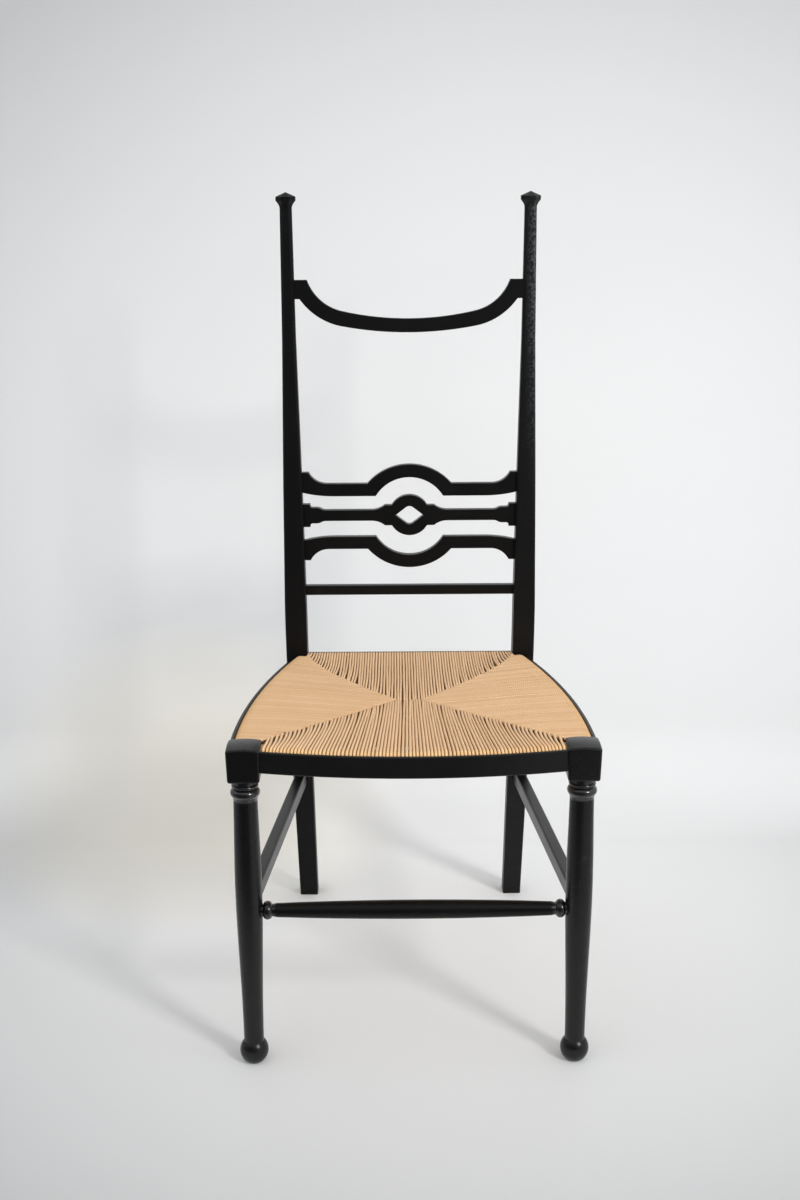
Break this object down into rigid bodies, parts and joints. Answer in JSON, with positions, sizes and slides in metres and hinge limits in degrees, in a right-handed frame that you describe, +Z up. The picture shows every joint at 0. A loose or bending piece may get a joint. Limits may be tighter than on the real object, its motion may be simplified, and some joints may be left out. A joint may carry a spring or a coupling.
{
  "type": "side chair",
  "caption": "High-backed side chair in black paint with a seat woven from paper cord, turned front legs and a pierced ring in the back.",
  "frame": {"origin": "on the floor at the middle of the chair's bounding box", "axes": "+X to the right of a viewer who faces the chair, +Y towards the back, +Z up; the chair faces -Y"},
  "size_m": [0.4646, 0.5358, 1.1015],
  "materials": {
    "black_paint": "black brushed paint, satin to gloss",
    "raw_wood": "bare planed wood under the weave",
    "paper_cord": "pale tan twisted paper cord",
    "cord_stuffing": "loose twisted paper offcuts",
    "painted_steel": "black paint over steel"
  },
  "bodies": {
    "root": {"back_edge_strip": "black_paint", "back_seat_rail": "raw_wood", "crest_rail": "black_paint", "edge_strip_brads": "painted_steel", "front_edge_strip": "black_paint", "front_seat_rail": "raw_wood", "front_stretcher": "black_paint", "left_back_post": "black_paint", "left_edge_strip": "black_paint", "left_front_leg": "black_paint", "left_seat_rail": "raw_wood", "left_side_stretcher": "black_paint", "lower_back_rail": "black_paint", "lower_lattice_rail": "black_paint", "middle_lattice_rail": "black_paint", "right_back_post": "black_paint", "right_edge_strip": "black_paint", "right_front_leg": "black_paint", "right_seat_rail": "raw_wood", "right_side_stretcher": "black_paint", "seat_stuffing": "cord_stuffing", "upper_lattice_rail": "black_paint", "woven_seat": "paper_cord"}
  },
  "joints": []
}
